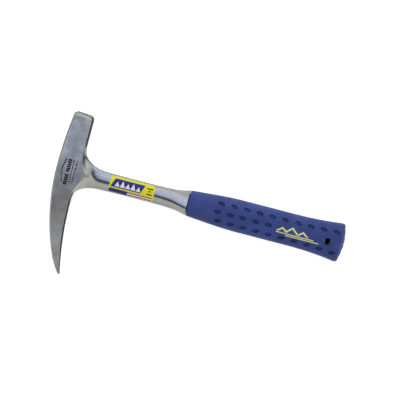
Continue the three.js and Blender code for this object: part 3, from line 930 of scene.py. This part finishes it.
def model_grip_marking(grip):
    """Three plain peaks over two lines of strata, pad-printed on the smooth panel."""
    marks = []
    stroke, base = 1.9, -2.8
    for middle, half, top in ((259.5, 7.0, 2.4), (270.5, 8.5, 4.6), (283.0, 7.0, 2.6)):
        for side in (1, -1):
            slope = (top - base) / half
            edge = Vector((side * slope, 1)).normalized()
            outer = ((middle, top), (edge.x, edge.y))
            inner = ((middle - edge.x * stroke, top - edge.y * stroke), (-edge.x, -edge.y))
            x0, x1 = sorted((middle, middle + side * half))
            marks.append(sheet_of_ink(CREAM_INK, "slope", (x0, x1, base, top), [outer, inner], 2))
    for x0, x1, y in ((253.0, 296.0, -4.9), (264.0, 302.0, -6.9)):
        marks.append(sheet_of_ink(CREAM_INK, "stratum", (x0, x1, y, y + 1.1), cell=2, corner=0.5))
    return lay_on(join(marks, "grip_marking"), grip, 0.02)


# ---- the studio ----------------------------------------------------------------------------------


def set_camera():
    """The camera looks almost straight down, from a little towards the poll."""
    target = at(163.2, 6.5)
    tilt = math.radians(7)
    distance = 6.0
    width_in_view = 442.8 * MM  # at the parting plane
    sensor_width = 36
    back = Vector((0, math.sin(tilt), math.cos(tilt)))
    roll = math.radians(14.5)
    up = Vector((-math.sin(roll), math.cos(roll), 0))
    up = (up - up.project(back)).normalized()
    bpy.ops.object.camera_add(location=target + back * distance)
    camera = bpy.context.object
    axes = Matrix((up.cross(back), up, back)).transposed()
    camera.rotation_euler = axes.to_euler()
    camera.data.sensor_width = sensor_width
    camera.data.lens = sensor_width * distance / width_in_view
    camera.data.clip_start, camera.data.clip_end = 0.01, 20
    bpy.context.scene.camera = camera


def add_softbox(name, place, power, size, colour):
    bpy.ops.object.light_add(type="AREA", location=place)
    light = bpy.context.object
    light.name = name
    light.data.energy, light.data.size, light.data.color = power, size, linear(colour)[:3]
    light.visible_glossy = False  # the steel mirrors the room alone
    light.rotation_euler = (at(130, 0) - Vector(place)).to_track_quat("-Z", "Y").to_euler()


FLOOR_DROP, CARD_DROP = 0.3, 0.2  # how far below the hammer the paper and the card lie


def lay_floor():
    """White paper lit from underneath as well, which leaves hardly a shadow on it."""
    add("plane", size=6, location=(0, 0, -FLOOR_DROP * MM))
    floor = leave("pale_floor")
    material, tree, place = new_material("backlit_white_paper")
    fibres = add_node(tree, "ShaderNodeTexNoise", {"Vector": place, "Scale": per_metre(2.5)}).outputs["Fac"]
    tone = add_node(
        tree,
        "ShaderNodeMix",
        {MIX_SHARE: fibres, MIX_FIRST: linear(0xF4F4F4), MIX_SECOND: linear(0xFDFDFD)},
        data_type="RGBA",
    ).outputs[MIXED]
    shader = add_node(
        tree,
        "ShaderNodeBsdfPrincipled",
        {"Base Color": tone, "Roughness": 0.9, "Emission Color": linear(0xFFFFFF), "Emission Strength": 0.62},
    )
    add_node(tree, "ShaderNodeOutputMaterial", {"Surface": shader.outputs["BSDF"]})
    floor.visible_glossy = False  # the steel mirrors the room alone
    coat(floor, material)


def lay_shadow_card():
    """A small dark card under the butt, a painted shadow: it keeps the floor from shining up through the hang
    hole.
    """
    below = at(GRIP_END - HOLE_FROM_BUTT, HOLE_Y)
    add("plane", size=9.5 * MM, location=(below.x, below.y, -CARD_DROP * MM))
    card = leave("painted_shadow_card")
    material, tree, place = new_material("painted_shadow_black_card")
    fibres = add_node(tree, "ShaderNodeTexNoise", {"Vector": place, "Scale": per_metre(1)}).outputs["Fac"]
    tone = add_node(
        tree,
        "ShaderNodeMix",
        {MIX_SHARE: fibres, MIX_FIRST: linear(0x1A1A1A), MIX_SECOND: linear(0x262626)},
        data_type="RGBA",
    ).outputs[MIXED]
    shader = add_node(tree, "ShaderNodeBsdfPrincipled", {"Base Color": tone, "Roughness": 0.9})
    add_node(tree, "ShaderNodeOutputMaterial", {"Surface": shader.outputs["BSDF"]})
    coat(card, material)


# The room's tone by how far a direction leans from overhead: towards the pick below zero, towards the
# poll above it, in degrees.
ROOM = (
    (-90, 0xB0B0AC),
    (-45, 0xD2D2C6),
    (-22, 0xD6D6CC),
    (-17, 0x3A3A3C),
    (-3, 0x303136),
    (2, 0xBFCAE6),
    (25, 0xE2EAFF),
    (60, 0xF2F4F8),
    (90, 0xD2D1C9),
)
ROOM_SKEW = -1.2  # how far it all turns for each step towards the butt

# Tones laid over that along an axis: where each begins, where it is full, its share there, its colour.
# A window past the butt is bright, the far end beyond it is dark, and the near end, past the head's
# back, is dim. Below is white paper, apart from the hammer's own shadow straight down.
ROOM_BANDS = (
    ("X", 0.3, 0.5, 0.5, 0xF6F6F0),
    ("X", 0.86, 0.97, 0.9, 0x1C1C20),
    ("X", -0.7, -0.9, 0.9, 0x84868C),
    ("Z", 0.05, -0.15, 0.9, 0xDCDCDA),
    ("Z", -0.86, -0.98, 0.9, 0x2C2E32),
)


def fill_room():
    """The room that the steel mirrors: cool on the poll's side, grey on the pick's, dark in between."""
    world = bpy.data.worlds.new("studio_room")
    bpy.context.scene.world = world
    world.use_nodes = True
    tree = world.node_tree
    tree.nodes.clear()
    direction = add_node(tree, "ShaderNodeTexCoord").outputs["Generated"]
    axes = add_node(tree, "ShaderNodeSeparateXYZ", {"Vector": direction}).outputs
    lean = add_node(
        tree,
        "ShaderNodeMath",
        {0: axes["Y"], 1: axes["Z"]},
        operation="ARCTAN2",
    ).outputs["Value"]
    # The dark strip overhead runs askew, from over the root's upper side to over the collar's lower side.
    lean = add_node(
        tree,
        "ShaderNodeMath",
        {0: axes["X"], 1: ROOM_SKEW, 2: lean},
        operation="MULTIPLY_ADD",
    ).outputs["Value"]
    share = add_node(
        tree,
        "ShaderNodeMapRange",
        {"Value": lean, "From Min": -math.pi / 2, "From Max": math.pi / 2},
    ).outputs["Result"]
    ramp = add_node(tree, "ShaderNodeValToRGB", {"Fac": share})
    stops = ramp.color_ramp.elements
    stops[0].color, stops[1].color = linear(ROOM[0][1]), linear(ROOM[-1][1])
    for degrees, colour in ROOM[1:-1]:
        stops.new((degrees + 90) / 180).color = linear(colour)
    tone = ramp.outputs["Color"]
    for axis, first, full, most, colour in ROOM_BANDS:
        share = add_node(
            tree,
            "ShaderNodeMapRange",
            {"Value": axes[axis], "From Min": first, "From Max": full, "To Max": most},
            interpolation_type="SMOOTHSTEP",
        ).outputs["Result"]
        tone = add_node(
            tree,
            "ShaderNodeMix",
            {MIX_SHARE: share, MIX_FIRST: tone, MIX_SECOND: linear(colour)},
            data_type="RGBA",
        ).outputs[MIXED]
    background = add_node(tree, "ShaderNodeBackground", {"Color": tone, "Strength": 1.1})
    add_node(tree, "ShaderNodeOutputWorld", {"Surface": background.outputs["Background"]})


def set_studio():
    lay_floor()
    lay_shadow_card()
    add_softbox("poll_side_softbox", (-0.2, 1.7, 1.5), 11, 1.2, 0xFFFFFF)
    fill_room()
    bpy.context.scene.view_settings.view_transform = "Standard"


# ---- making it all -------------------------------------------------------------------------------

set_camera()
forging = model_forging()
grip = model_grip()
label = model_label(forging)
model_head_marking(forging)
model_grip_marking(grip)

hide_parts("forged_steel_body")
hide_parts("vinyl_grip")
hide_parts("neck_label")
for name in (
    "forged_hammer",
    "moulded_grip",
    "neck_label_film",
    "label_navy_print",
    "label_white_print",
    "label_red_stripes",
    "label_black_lines",
    "head_marking",
    "grip_marking",
):
    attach(bpy.data.objects[name], "root")

set_studio()
